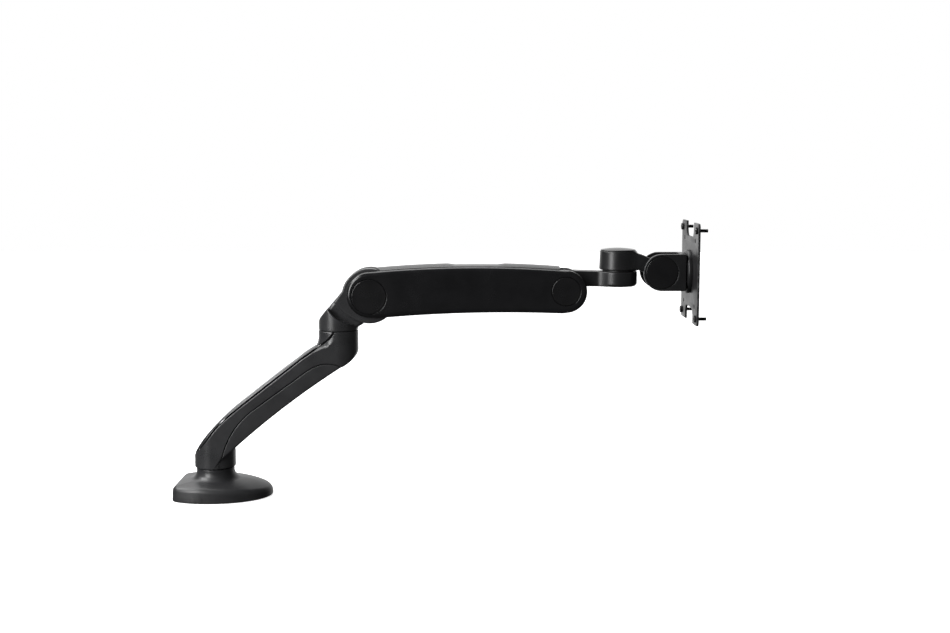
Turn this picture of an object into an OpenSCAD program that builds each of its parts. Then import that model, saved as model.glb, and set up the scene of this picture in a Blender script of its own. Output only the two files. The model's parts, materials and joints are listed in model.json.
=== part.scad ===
// Desk-mounted monitor arm: base, rising lower arm, spring arm with a
// parallelogram link, swivel and tilt head, and a 100 mm monitor plate.
// Axes: +X runs from the base towards the monitor, +Z up, and the origin is
// where the base's swivel axis meets the desk.

/* [Base] */
// Half-length of the base from the swivel axis to its round tip
base_tip = 67.5; // [64:0.5:70]
// Half-width of the base
base_half_w = 47.7; // [46:0.1:52]
// Distance from the swivel axis to the base's flat back
base_back = 45.6; // [44:0.1:46]
// Height of the base's rim at the back
base_rim_back = 17; // [15:0.5:18]
// Height of the base's rim at the tip
base_rim_tip = 9.5; // [9:0.5:12]
// Wall of the base cover
cover_wall = 2.6; // [2:0.1:3]
// Radius of the neck that the lower arm turns on
neck_r = 22.2; // [22:0.1:23]
// Height of the top of the neck
neck_top = 34.2; // [34.1:0.1:34.4]

/* [Lower arm] */
// Distance between the base axis and the elbow axis
lower_reach = 148; // [147:0.5:150]
// Radius of the lower arm's collar over the base
collar_r = 24.1; // [23.8:0.1:24.3]
// Radius of the lower arm's socket under the elbow
socket_r = 23.3; // [23:0.1:23.5]
// Height of the socket's top face
socket_top = 197.6; // [197:0.1:198]

/* [Elbow] */
// Radius of the elbow's round collar
elbow_r = 23; // [22.6:0.1:23.2]
// Radius of the elbow's head disc
head_disc_r = 32; // [31:0.1:32]
// Half-width of the elbow's head disc
head_disc_half = 17; // [16:0.5:17]

/* [Spring arm] */
// Rear pivot of the spring arm, X and Z
rear_pivot = [185.7, 239];
// Front pivot of the spring arm, X and Z
front_pivot = [413.4, 245.2];
// Half-width of the spring arm
arm_half_w = 25; // [24.5:0.5:25.5]
// Radius of the rear pivot caps
rear_cap_r = 19.9; // [18:0.1:20]
// Radius of the front pivot caps
front_cap_r = 16.4; // [16:0.1:17]
// Height of the levelling link's pins above the two pivots
link_rise = 14; // [13.5:0.1:14]
// Drop of the gas spring's line below the two pivots
spring_drop = 9; // [8.5:0.1:9]

/* [Head] */
// Distance from the base axis to the head's swivel axis
head_x = 475; // [474:0.5:476]
// Radius of the knuckle's round end, under the head
drum_r = 22.2; // [21.5:0.1:22.2]
// Radius of the swivel head at its foot
head_r = 21.9; // [21.5:0.1:22]
// Tilt axis, X and Z
tilt_axis = [524, 266.6];
// Radius of the tilt bracket's cheeks
cheek_r = 21.3; // [20.6:0.1:21.4]
// Half-width over the tilt bracket's cheeks
bracket_half = 21; // [20.5:0.1:21.5]
// Rear face of the monitor plate
plate_x = 558.5; // [558:0.1:559]
// Side of the square monitor plate
plate_side = 116; // [115:1:120]
// Thickness of the monitor plate
plate_t = 2.5; // [2:0.1:2.8]
// Hole spacing of the monitor's main pattern
hole_pitch = 100; // [100:1:100]
// Hole spacing of the monitor's smaller pattern
small_pitch = 75; // [75:1:75]

/* [Hidden] */
$fn = 64;
fit = 0.05;      // radial clearance of pins and bushes
gap = 0.3;       // clearance between neighbouring bodies
shown = 0.6;     // visible gap between covers

pad_t = 1.5;
steel_t = 5;
plate_z = pad_t + steel_t;
flange_t = 4.5;
post_r = 11;
shoulder_r = 18.5;
shoulder_z = neck_top - 0.2;
clamp_pitch = 54;
clamp_hole_r = 3.35;
post_screw_at = 15;
screw_recess = 0.3;
collar_z = 35;
collar_top = 55.5;
pocket_r = 17;
post_top = 56.2;
shelf_z = 56;

spigot_r = 12;
bush_t = 2.15;
elbow_z = socket_top + 0.7;
spigot_low = 166;
plug_z = 180;

arm_slope = atan2(front_pivot[1] - rear_pivot[1], front_pivot[0] - rear_pivot[0]);
arm_len = norm(front_pivot - rear_pivot);
wall_in = 18;    // half-width of the spring arm's channel
tongue_half = 14.5;
tongue_r = 22.5;
slot_half = 5.4;
rod_slot_half = 9.2;

mid_x = (rear_pivot[0] + front_pivot[0]) / 2 + 9.5;
crown_z = 273.3; // highest point of the spring arm's back
crown_r = 1300;
belly_x = 345;
belly_z = 220.4; // lowest points of its belly lie on this arch
belly_r = 1668;
lid_t = 3;

satin = [0.16, 0.16, 0.17];
head_black = [0.11, 0.11, 0.12];
black = [0.08, 0.08, 0.09];
steel = [0.62, 0.63, 0.65];
nylon = [0.85, 0.83, 0.78];

// ---- helpers ----

// Extrudes an outline drawn in X and Z between two values of Y.
module across(y0, y1) {
    translate([0, y1, 0]) rotate([90, 0, 0]) linear_extrude(y1 - y0) children();
}

// A round bar along Y, centred on an [x, z] point.
module bar_y(p, r, y0, y1) {
    translate([p[0], y1, p[1]]) rotate([90, 0, 0]) cylinder(r = r, h = y1 - y0);
}

// A copy of the children on each side of the arm's middle plane.
module both_sides() {
    children();
    mirror([0, 1, 0]) children();
}

// A round bar along Z.
module post(x, r, z0, z1) {
    translate([x, 0, z0]) cylinder(r = r, h = z1 - z0);
}

// A ring about a vertical axis.
module ring(x, r_in, r_out, z0, z1) {
    difference() {
        post(x, r_out, z0, z1);
        post(x, r_in, z0 - 1, z1 + 1);
    }
}

// A ring about an axis along Y.
module ring_y(p, r_in, r_out, y0, y1) {
    difference() {
        bar_y(p, r_out, y0, y1);
        bar_y(p, r_in, y0 - 1, y1 + 1);
    }
}

// A screw along +Z with its head on top at z = 0 and a hexagon socket.
module socket_screw(shank_r, shank_len, head_r, head_h, hex_r) {
    difference() {
        union() {
            cylinder(r = head_r, h = head_h);
            translate([0, 0, -shank_len]) cylinder(r = shank_r, h = shank_len + 0.5);
        }
        translate([0, 0, head_h * 0.4]) cylinder(r = hex_r, h = head_h, $fn = 6);
    }
}

// Points of a quadratic curve from a to c, pulled towards b.
function curve(a, b, c, n = 8) =
    [for (i = [0:n]) let (t = i / n) (1 - t) * (1 - t) * a + 2 * t * (1 - t) * b + t * t * c];

function arc(centre, r, a0, a1, n = 10) =
    [for (i = [0:n]) let (a = a0 + (a1 - a0) * i / n) centre + r * [cos(a), sin(a)]];

// ---- base ----

corner_r = 12;
corner_turn = 125.5; // where the ellipse hands over to the back corners

// Plan outline of the base: an ellipse with a flat back and round corners.
function base_outline(inset) =
    let (
        a = base_tip - inset,
        b = base_half_w - inset,
        r = corner_r - inset / 2,
        back = base_back - inset,
        n = [cos(corner_turn) / base_tip, sin(corner_turn) / base_half_w],
        start = atan2(n[1], n[0]),
        cy = b * sin(corner_turn) - r * sin(start)
    )
    concat(
        [for (t = [-corner_turn:corner_turn / 14:corner_turn + 0.1]) [a * cos(t), b * sin(t)]],
        arc([r - back, cy], r, start + 8, 180, 5),
        arc([r - back, -cy], r, 180, 352 - start, 5)
    );

// Solid inside of the cover's outer skin, shrunk by an inset.
module base_body(inset) {
    hull() {
        linear_extrude(base_rim_tip - inset) polygon(base_outline(inset));
        intersection() {
            linear_extrude(base_rim_back - inset) polygon(base_outline(inset));
            translate([-100, -100, 0]) cube([92, 200, 40]);
        }
        cylinder(r = 30 - inset, h = 21.5 - inset, $fn = 32);
    }
}

// Where the neck's flare starts on the cover's dome.
flare_start = [30, 20.5];

module base_cover() color(satin) {
    difference() {
        union() {
            translate([0, 0, 0.4]) base_body(0);
            rotate_extrude()
                polygon(concat(
                    [[shoulder_r, 14], flare_start],
                    curve(flare_start + [0, 0.4], [neck_r + 1, flare_start[1] + 2.5], [neck_r, neck_top - 4]),
                    [[neck_r, neck_top], [shoulder_r, neck_top]]));
        }
        translate([0, 0, -0.1]) base_body(cover_wall);
        post(0, shoulder_r + 0.6, -1, neck_top + 1);
    }
}

module base_pad() color(black) {
    difference() {
        linear_extrude(pad_t) polygon(base_outline(cover_wall + 0.6));
        post(0, 8, -1, pad_t + 1);
        base_bolt_holes(clamp_hole_r);
        flange_holes(5.6);
        cover_screw_spots(4.2, -1, pad_t + 1);
    }
}

module base_bolt_holes(r) {
    for (x = [-1, 1], y = [-1, 1])
        translate([x * clamp_pitch / 2, y * clamp_pitch / 2, -1]) cylinder(r = r, h = 30);
}

// Puts the children at the four screws that hold the post.
module at_post_screws() {
    for (a = [0:90:270]) rotate(a) translate([post_screw_at, 0, 0]) children();
}

module flange_holes(r) {
    at_post_screws() translate([0, 0, -1]) cylinder(r = r, h = 30);
}

// Puts the children at the three screws that hold the cover.
module at_cover_screws() {
    for (a = [60, 180, 300]) rotate(a) translate([a == 180 ? 36 : 38, 0, 0]) children();
}

module cover_screw_spots(r, z0, z1) {
    at_cover_screws() translate([0, 0, z0]) cylinder(r = r, h = z1 - z0);
}

module base_plate() color(steel) {
    difference() {
        translate([0, 0, pad_t]) linear_extrude(steel_t) polygon(base_outline(cover_wall + 0.6));
        post(0, 6, -1, plate_z + 1);
        base_bolt_holes(clamp_hole_r);
        flange_holes(2.7);
        intersection() {
            flange_holes(4.8);
            post(0, 25, 0, pad_t + 1.8);
        }
        cover_screw_spots(1.9, -1, plate_z + 1);
    }
}

module base_post() color(steel) {
    difference() {
        union() {
            post(0, 21, plate_z, plate_z + flange_t);
            post(0, shoulder_r, plate_z, shoulder_z);
            post(0, post_r, plate_z, post_top);
        }
        post(0, 4.25, 0, plate_z + 20);
        flange_holes(2.1);
        post(0, 3.4, 40, post_top + 1);
    }
}

module base_screws() color(steel) {
    at_post_screws() translate([0, 0, pad_t + screw_recess]) mirror([0, 0, 1])
        translate([0, 0, -1.2]) socket_screw(2.05, 14, 4.4, 2.4, 1.6);
}

module base_cover_screws() color(black) {
    at_cover_screws() translate([0, 0, pad_t]) mirror([0, 0, 1]) socket_screw(1.8, 5, 3.4, 1.2, 1.3);
}

module base_swivel_washer() color(black) ring(0, post_r + 0.1, shoulder_r - 0.4, shoulder_z, collar_z - 0.1);

module post_retainer_washer() color(steel) ring(0, 3.6, 15, post_top, post_top + 2.5);

module post_retainer_screw() color(steel)
    translate([0, 0, post_top + 2.5]) socket_screw(3.35, 14, 6.5, 5, 2.9);

// ---- lower arm ----

// Curve of the arm's back where it rises from the collar.
back_start = [-24.6, 48];
back_pull = [-6.7, 81.7];
back_end = [27.8, 108.7];
// Straight run of the back, and where it meets the socket.
back_top = [106.5, 170.3];
back_socket = [124.2, 181];
// Edge between the casting and the cable cover.
edge_low = [12.5, 51.4];
edge_low_pull = [21, 83.1];
edge_mid = [46.4, 103.7];
edge_high = [111.3, 151];
edge_high_pull = [133.1, 166.8];
edge_end = [153, 157.3];
// Gently bowed underside, from under the socket down to the collar.
under_high = [154, 156.4];
under_pull = [90.8, 115.9];
under_low = [34.9, 66.7];
under_foot = [26, 58.8];

function shift(points, d) = [for (p = points) p + d];

// Edge between the casting and the cable cover, as a run of points.
function arm_edge() = concat(
    curve(edge_low, edge_low_pull, edge_mid),
    curve(edge_high, edge_high_pull, edge_end)
);

// Seam between the casting and the trim on its back.
function seam_line() = concat(
    curve([-25.5, 48], [-11, 61], [1.3, 79.2]),
    curve([6, 85], [13, 93], [34.7, 110.1], 4),
    curve([105.6, 165.6], [125, 178.5], [134.9, 186], 5),
    curve([138, 188.8], [143.5, 194], [145.6, 199.5], 3)
);

function underside() = curve(under_high, under_pull, under_low);

function reverse(points) = [for (i = [len(points) - 1:-1:0]) points[i]];

// Plan outline shared by the casting and its covers: two round ends and flat sides.
module arm_plan(inset) {
    r0 = collar_r - inset;
    r1 = socket_r - inset;
    circle(r = r0);
    translate([lower_reach, 0]) circle(r = r1);
    polygon([[0, -r0], [lower_reach, -r1], [lower_reach, r1], [0, r0]]);
}

module arm_slice(inset, points) {
    intersection() {
        linear_extrude(220) arm_plan(inset);
        across(-40, 40) polygon(points);
    }
}

trim_t = 2.6;
trim_gap = 0.25;
cover_inset = 0.7;

// Direction square to the straight run of the back, pointing into the arm.
into_back = [sin(38), -cos(38)];

// Line of the arm's back, moved inwards by an inset.
function back_line(inset) =
    shift(concat(curve(back_start, back_pull, back_end), [back_top, back_socket]), inset * into_back);

// The arm's whole body above the cable cover, shrunk by an inset on its sides and back.
module arm_body(inset) {
    arm_slice(inset, concat(
        [[-25, 46]], back_line(inset),
        [[172.5, back_socket[1] - inset], [172.5, 174.5]],
        curve([171.5, 172.6], [166, 162.5], under_high, 4),
        reverse(arm_edge()), [[12.5, 46]]));
    intersection() {
        post(0, collar_r - inset, collar_z, collar_top);
        across(-40, 40) polygon(concat([[-25, 30], [-25, 46]], back_line(inset), [[180, 30]]));
    }
    post(lower_reach, socket_r - inset, 176, socket_top);
}

// Space that the trim takes from the casting, with a clearance all round.
module trim_space(clearance) {
    difference() {
        across(-40, 40) polygon(concat(
            shift(seam_line(), clearance * into_back), [[100, 230], [-60, 140], [-60, 48]]));
        arm_body(trim_t + clearance);
    }
}

module lower_arm_top_trim() color(black) {
    intersection() {
        arm_body(0);
        trim_space(0);
    }
}

module lower_arm_casting() color(satin) {
    difference() {
        arm_body(0);
        trim_space(trim_gap);
        // channel for the monitor's cables, open below
        difference() {
            across(-wall_in, wall_in) polygon([[-5, 40], [24, 74], [60, 112], [118, 156], [118, 140], [40, 60]]);
            post(0, collar_r + 0.1, 30, 70);
            post(lower_reach, socket_r + 0.1, 130, 200);
        }
        // bores and the two retainer pockets
        post(0, post_r + bush_t + 0.1, collar_z - 1, shelf_z + 1);
        post(0, pocket_r, shelf_z, 66);
        post(0, 8, 60, 100);
        post(lower_reach, spigot_r + bush_t + 0.1, spigot_low + 2, socket_top + 1);
        post(lower_reach, pocket_r, 150, spigot_low + 2.2);
        translate([lower_reach + spigot_r + bush_t, 0, plug_z]) rotate([0, 90, 0]) cylinder(r = 3, h = 12);
    }
}

module lower_arm_cable_cover() color(satin) {
    difference() {
        arm_slice(cover_inset, concat(shift(arm_edge(), [shown, -shown]), underside(), [under_foot]));
        across(-19.2, 19.2) polygon(concat(
            [[14, 60], [46, 108], [112, 158], [146, 166]], shift(underside(), [-1.6, 2.1])));
        post(0, collar_r + gap, 30, collar_top + 0.5);
        post(0, pocket_r + gap, 50, 66);
    }
}

module base_bush() color(nylon) ring(0, post_r + fit, post_r + bush_t + fit, collar_z + 0.3, shelf_z - 0.3);

module elbow_bush() color(nylon)
    ring(lower_reach, spigot_r + fit, spigot_r + bush_t + fit, spigot_low + 3, socket_top - 0.2);

// Grub screw that sets the elbow's friction.
module socket_plug() color(black) {
    translate([lower_reach + spigot_r + bush_t + gap, 0, plug_z]) rotate([0, 90, 0]) difference() {
        cylinder(r = 2.9, h = 5.8);
        translate([0, 0, 3]) cylinder(r = 1.5, h = 4, $fn = 6);
    }
}

// ---- elbow ----

module elbow_washer() color(black) ring(lower_reach, spigot_r + 0.1, socket_r - 2.2, socket_top, elbow_z - 0.1);

module elbow_casting() color(satin) {
    difference() {
        union() {
            post(lower_reach, spigot_r, spigot_low, elbow_z + 1);
            // round collar with its sloping, scooped top
            intersection() {
                post(lower_reach, elbow_r, elbow_z, 240);
                across(-30, 30) polygon(concat(
                    [[172, 190], [120, 190], [120, 202], [124.6, 208.6], [127.6, 213.4]],
                    curve([137.2, 225], [148.5, 207], [172, 204.6])));
            }
            // recessed neck
            across(-11.5, 11.5) polygon([[134, 217], [139.6, 227.6], [151, 241], [175, 232], [178, 206], [165, 199]]);
            // head: a disc with a wedge down to the neck
            bar_y(rear_pivot, head_disc_r, -head_disc_half, head_disc_half);
            across(-head_disc_half, head_disc_half) polygon(concat(
                [[156.6, 248.2], [144.9, 231.6]],
                curve([144.9, 231.6], [155, 217], [172.5, 209.4]), [rear_pivot]));
        }
        // slots for the levelling link and the gas spring
        across(-slot_half, slot_half) polygon([[172, 244], [196, 214], [240, 180], [240, 300], [172, 300]]);
        across(-rod_slot_half, rod_slot_half)
            polygon([[174, 216], [192, 216], [230, 182], [230, 246], [174, 246]]);
        bar_y(rear_pivot, 7, -30, 30);
        bar_y(rear_pivot + [0, link_rise], 3 + fit, -14, 14);
        post(rear_pivot[0], 4 + fit, 200, 220);
        post(rear_pivot[0], 6.4, 200, 211.5);
        post(lower_reach, 3.4, 150, spigot_low + 16);
    }
}

module elbow_retainer_washer() color(steel)
    ring(lower_reach, 3.6, 15.5, spigot_low - 2.5, spigot_low);

module elbow_retainer_screw() color(steel)
    translate([lower_reach, 0, spigot_low - 2.5]) mirror([0, 0, 1]) socket_screw(3.35, 15, 6, 3.4, 2.9);

module rear_pivot_pins() color(steel) {
    both_sides() bar_y(rear_pivot, 7, rod_slot_half + 0.3, 22);
}

module rear_link_pin() color(steel) bar_y(rear_pivot + [0, link_rise], 3, -13.8, 13.8);

module tension_screw() color(steel) {
    translate([rear_pivot[0], 0, 211]) mirror([0, 0, 1]) socket_screw(4, 24, 6, 3.6, 2.5);
}

// Nut on the tension screw; its two trunnions carry the gas spring's fork.
module tension_nut() color(steel) {
    p = rear_pivot - [0, spring_drop];
    difference() {
        union() {
            translate([p[0] - 6, -4, p[1] - 5]) cube([12, 8, 10]);
            bar_y(p, 3, -8.8, 8.8);
        }
        post(p[0], 4 + fit, p[1] - 10, p[1] + 10);
    }
}

// ---- spring arm ----

function crown(x) = crown_z - (x - mid_x) * (x - mid_x) / (2 * crown_r);
function belly(x) = belly_z - (x - belly_x) * (x - belly_x) / (2 * belly_r);

rear_round = [186.2, 240.8];
rear_round_r = 26.6;
front_round = [413.2, 244.5];
front_round_r = 24.7;

function steps(a, b, n) = [for (i = [0:n]) a + (b - a) * i / n];

// Side outline of the spring arm: round ends joined by a gently arched back and belly.
function arm_side() = concat(
    [for (x = steps(rear_round[0], front_round[0], 12)) [x, crown(x) - 0.2]],
    arc(front_round, front_round_r, 86, -84, 14),
    [for (x = steps(front_round[0] - 4, rear_round[0] + 8, 12)) [x, belly(x)]],
    arc(rear_round, rear_round_r, 272, 94, 16));

module spring_arm_shell() color(black) {
    difference() {
        across(-arm_half_w, arm_half_w) polygon(arm_side());
        // channel, open below
        across(-wall_in, wall_in) polygon(concat(
            [for (x = steps(196, 392, 8)) [x, crown(x) - 5]],
            [[392, 190], [196, 190]]));
        // room for the elbow's disc and the knuckle's tongue
        bar_y(rear_pivot, head_disc_r + 0.5, -wall_in + 0.4, wall_in - 0.4);
        across(-wall_in + 0.4, wall_in - 0.4) polygon([[140, 200], [215, 200], [215, 250], [186, 285], [140, 285]]);
        bar_y(front_pivot, tongue_r + 1.7, -tongue_half - 0.6, tongue_half + 0.6);
        across(-tongue_half - 0.6, tongue_half + 0.6)
            polygon([[388, 190], [450, 190], [450, 290], [408, 290], [403.5, 264.5], [388, 264.5]]);
        bar_y(rear_pivot, 8.6, -40, 40);
        bar_y(front_pivot, 7.6, -40, 40);
        both_sides() {
            bar_y(rear_pivot, rear_cap_r + 0.4, arm_half_w - 1.6, 40);
            bar_y(front_pivot, front_cap_r + 0.4, arm_half_w - 1.6, 40);
        }
        bar_y(anchor, 4 + fit, -21, 21);
    }
}

lid_start = 192.5;
lid_end = 407;
lid_half = 18;
notch_start = 277.5;
notch_end = 342;
notch_ramp = 7;

// Raised lid over the channel, with a finger notch in the middle.
module spring_arm_top_cover() color(black) {
    lid_z = crown_z + lid_t;
    floor_z = crown_z + 1;
    difference() {
        across(-lid_half, lid_half) polygon(concat(
            [for (x = steps(lid_start, lid_end, 12)) [x, crown(x) + (x == lid_start || x == lid_end ? 1.2 : lid_t)]],
            [for (x = steps(lid_end, lid_start, 12)) [x, crown(x) + 0.1]]));
        bar_y(rear_pivot, head_disc_r + 0.5, -lid_half - 1, lid_half + 1);
        across(-lid_half - 1, lid_half + 1) polygon([
            [notch_start - 3, 290], [notch_start, lid_z], [notch_start + notch_ramp, floor_z],
            [notch_end - notch_ramp, floor_z], [notch_end, lid_z], [notch_end + 3, 290]]);
    }
}

module spring_arm_bottom_cover() color(black) {
    difference() {
        across(-wall_in + gap, wall_in - gap) polygon(concat(
            [for (x = steps(224, 386, 8)) [x, belly(x) + 4]],
            [for (x = steps(386, 224, 8)) [x, belly(x) - 0.2]]));
        across(-wall_in + 2, wall_in - 2) polygon(concat(
            [for (x = steps(226, 384, 8)) [x, belly(x) + 5]],
            [for (x = steps(384, 226, 8)) [x, belly(x) + 1.8]]));
    }
}

module rear_pivot_caps() color(black) both_sides() difference() {
    bar_y(rear_pivot, rear_cap_r, arm_half_w - 1.5, arm_half_w + 0.4);
    bar_y(rear_pivot, 9, arm_half_w - 2, arm_half_w - 0.9);
}

module front_pivot_caps() color(black) both_sides() difference() {
    bar_y(front_pivot, front_cap_r, arm_half_w - 1.5, arm_half_w + 0.4);
    bar_y(front_pivot, 8, arm_half_w - 2, arm_half_w - 0.9);
}

module rear_pivot_bushes() color(nylon) both_sides() ring_y(rear_pivot, 7 + fit, 8.55, wall_in + 0.1, 23);

module front_pivot_bushes() color(nylon) both_sides() ring_y(front_pivot, 6 + fit, 7.55, tongue_half + 0.9, 23);

// Points along the line of the gas spring, which lies parallel to the arm's axis.
run = [cos(arm_slope), sin(arm_slope)];
spring_rear = rear_pivot - [0, spring_drop];
function on_spring(d) = spring_rear + d * run;
anchor = on_spring(182);
tube_start = 58;
tube_end = 172;
tube_r = 8.5;

// A round bar along the gas spring's line.
module spring_bar(r, d0, d1) {
    p = on_spring(d0);
    translate([p[0], 0, p[1]]) rotate([0, 90 - arm_slope, 0]) cylinder(r = r, h = d1 - d0);
}

module gas_spring_cylinder() color(black) {
    difference() {
        union() {
            spring_bar(tube_r, tube_start, tube_end);
            spring_bar(4.5, tube_end - 1, 180);
            bar_y(anchor, 8, -5, 5);
        }
        spring_bar(7, tube_start + 4, tube_end - 4);
        spring_bar(4 + fit, tube_start - 1, tube_start + 6);
        bar_y(anchor, 4 + fit, -20, 20);
    }
}

module gas_spring_anchor_pin() color(steel) bar_y(anchor, 4, -20.8, 20.8);

// Polished rod with a piston at one end and a fork over the tension nut at the other.
module gas_spring_rod() color(steel) {
    difference() {
        union() {
            spring_bar(4, 13, tube_start + 30);
            spring_bar(6.9, tube_start + 30, tube_start + 38);
            bar_y(spring_rear, 8.2, -8.9, 8.9);
            across(-8.9, 8.9) polygon([spring_rear + [4, 5], spring_rear + [15.5, 5], spring_rear + [15.5, -4.2],
                spring_rear + [4, -4.2]]);
        }
        bar_y(spring_rear + [0, 0.9], 5.7, -12, 12);
        translate([spring_rear[0] - 13, -4.6, spring_rear[1] - 15]) cube([24, 9.2, 30]);
    }
}

link_half = 4;

// Levelling link: with the arm it keeps the knuckle upright.
module levelling_link() color(steel) {
    a = rear_pivot + [0, link_rise];
    b = front_pivot + [0, link_rise];
    n = link_half * [-run[1], run[0]];
    difference() {
        union() {
            bar_y(a, 6.6, -5, 5);
            bar_y(b, 6.6, -5, 5);
            across(-5, 5) polygon([a + n, b + n, b - n, a - n]);
        }
        bar_y(a, 3 + fit, -8, 8);
        bar_y(b, 3 + fit, -8, 8);
    }
}

// ---- front knuckle ----

knuckle_top = 268;
knuckle_low = 249.8;
drum_top = 267;
drum_chamfer = 2.4;
bar_half = 10.5;

module knuckle_casting() color(head_black) {
    difference() {
        union() {
            bar_y(front_pivot, tongue_r, -tongue_half, tongue_half);
            across(-bar_half, bar_half) polygon([
                [413, knuckle_low], [413, knuckle_top - 0.5], [426, knuckle_top],
                [455, drum_top], [460, drum_top], [460, knuckle_low]]);
            rotate_extrude_at(head_x) polygon([
                [0, knuckle_low], [drum_r - drum_chamfer, knuckle_low], [drum_r, knuckle_low + drum_chamfer],
                [drum_r, drum_top], [0, drum_top]]);
        }
        across(-slot_half, slot_half) polygon([[380, 200], [402, 200], [405, 242], [424, 250], [424, 280], [380, 280]]);
        bar_y(front_pivot, 6, -20, 20);
        bar_y(front_pivot + [0, link_rise], 3 + fit, -13, 13);
        post(head_x, 8 + fit, 253, 270);
        post(head_x, 9.6, 249, 253.2);
    }
}

module rotate_extrude_at(x) {
    translate([x, 0, 0]) rotate_extrude() children();
}

module front_pivot_pins() color(steel) both_sides() bar_y(front_pivot, 6, slot_half + 0.3, 22.5);

module front_link_pin() color(steel) bar_y(front_pivot + [0, link_rise], 3, -12.8, 12.8);

module head_pivot_pin() color(steel) {
    difference() {
        post(head_x, 8, 253.4, 283);
        post(head_x, 2.7, 268, 284);
    }
}

module knuckle_plug() color(black) post(head_x, 9.4, 251, 253.1);

module head_washer() color(black) ring(head_x, 8.1, 18, drum_top, 268.8);

module head_retainer() color(steel) {
    ring(head_x, 2.8, 12, 283, 284.5);
    translate([head_x, 0, 284.6]) socket_screw(2.65, 12, 5, 2.2, 2);
}

// ---- swivel head ----

head_top = 291;
hub_r = 15.8;
hub_half = 13.4;
cap_r = 20.3;
cap_rise = 1.8; // how far the cap's middle stands above its rim

module swivel_head() color(head_black) {
    difference() {
        union() {
            rotate_extrude_at(head_x) polygon([
                [0, 269], [head_r - 1, 269], [head_r, 270], [head_r - 0.9, head_top - 0.8],
                [head_r - 1.7, head_top], [0, head_top]]);
            across(-hub_half, hub_half) polygon([
                [480, 269], [498, 269], [505, 266], [510, 260], [524, 252], [524, 282],
                [512, 281.6], [500, 287], [480, head_top - 0.6]]);
            bar_y(tilt_axis, hub_r, -hub_half, hub_half);
        }
        post(head_x, 8 + bush_t + 0.1, 268, 283);
        post(head_x, 14, 282.6, head_top + 1);
        bar_y(tilt_axis, 5 + fit, -20, 20);
    }
}

module head_bush() color(nylon) ring(head_x, 8 + fit, 8 + bush_t + fit, 269.1, 282.4);

module head_cap() color(head_black) {
    edge = cap_r - 0.7;
    rotate_extrude_at(head_x) polygon(concat(
        [[0, head_top - 1], [13.8, head_top - 1], [13.8, head_top + 0.2], [cap_r, head_top + 0.2], [cap_r, head_top + 0.6]],
        [for (r = steps(edge, 0, 8)) [r, head_top + 1.2 + cap_rise * (1 - pow(r / edge, 2))]]));
}

module tilt_washers() color(black) both_sides() ring_y(tilt_axis, 5.2, 14, 13.5, 15);

// ---- tilt bracket ----

cheek_in = 15.2;
bracket_back = 552;
bracket_web = 546;

module tilt_bracket() color(head_black) {
    difference() {
        union() {
            both_sides() {
                bar_y(tilt_axis, cheek_r, cheek_in, bracket_half);
                translate([tilt_axis[0], cheek_in, tilt_axis[1] - cheek_r])
                    cube([bracket_back - tilt_axis[0], bracket_half - cheek_in, 2 * cheek_r]);
            }
            translate([bracket_web, -bracket_half, tilt_axis[1] - cheek_r])
                cube([bracket_back - bracket_web, 2 * bracket_half, 2 * cheek_r]);
        }
        bar_y(tilt_axis, 5 + fit, -40, 40);
        both_sides() bar_y(tilt_axis, 9.2, bracket_half - 3.4, 30);
        translate([540, 0, tilt_axis[1]]) rotate([0, 90, 0]) cylinder(r = 4 + fit, h = 20);
    }
}

module tilt_bolt() color(steel) {
    translate([tilt_axis[0], bracket_half - 3.3, tilt_axis[1]]) rotate([-90, 0, 0])
        socket_screw(5, 38.6, 8, 3, 3);
}

module tilt_nut() color(steel) difference() {
    translate([tilt_axis[0], -bracket_half + 0.5, tilt_axis[1]]) rotate([-90, 0, 0])
        cylinder(r = 8.6, h = 2.8, $fn = 6);
    bar_y(tilt_axis, 5.05, -40, 0);
}

module tilt_caps() color(head_black) both_sides() {
    bar_y(tilt_axis, 18.5, bracket_half + 0.05, bracket_half + 0.6);
}

roll_z = tilt_axis[1];

module along_x(x, r, h) {
    translate([x, 0, roll_z]) rotate([0, 90, 0]) cylinder(r = r, h = h);
}

module roll_bolt() color(steel) difference() {
    union() {
        along_x(541, 4, plate_x + plate_t - 541 + 0.3);
        along_x(plate_x + plate_t + 0.2, 8.5, 2.2);
        along_x(541.2, 6.2, 4.6);
    }
    translate([plate_x + plate_t + 1.4, 0, roll_z]) rotate([0, 90, 0]) cylinder(r = 2.9, h = 3, $fn = 6);
}

module roll_washer() color(black) difference() {
    along_x(bracket_back + 0.05, 17, 0.9);
    along_x(bracket_back - 1, 4.2, 4);
}

// ---- monitor plate ----

disc_r = 25.3;

module roll_disc() color(head_black) difference() {
    along_x(bracket_back + 1, disc_r, plate_x - bracket_back - 1.05);
    along_x(bracket_back, 4 + fit, 12);
}

module rounded_square(side, r) {
    s = side / 2;
    for (x = [-1, 1], y = [-1, 1]) translate([x * (s - r), y * (s - r)]) circle(r = r);
    square([side - 2 * r, side], center = true);
    square([side, side - 2 * r], center = true);
}

notch_w = 52;
notch_depth = 17;

// Plate outline in its own plane: an H with round corners and two wide notches.
module plate_shape() {
    difference() {
        rounded_square(plate_side, 5);
        for (s = [-1, 1]) translate([0, s * plate_side / 2]) {
            square([notch_w, 2 * (notch_depth - 10)], center = true);
            translate([0, -s * (notch_depth - 10)]) {
                square([notch_w - 20, 20], center = true);
                for (x = [-1, 1]) translate([x * (notch_w / 2 - 10), 0]) circle(r = 10);
            }
        }
        for (x = [-1, 1], y = [-1, 1]) {
            translate([x, y] * hole_pitch / 2) circle(r = 2.5);
            translate([x, y] * small_pitch / 2) circle(r = 2.5);
        }
        circle(r = 4.1);
        for (a = [45:90:315]) rotate(a) translate([19, 0]) circle(r = 1.7);
    }
}

module monitor_plate() color(black) {
    translate([plate_x, 0, roll_z]) rotate([90, 0, 90]) linear_extrude(plate_t) plate_shape();
}

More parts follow.
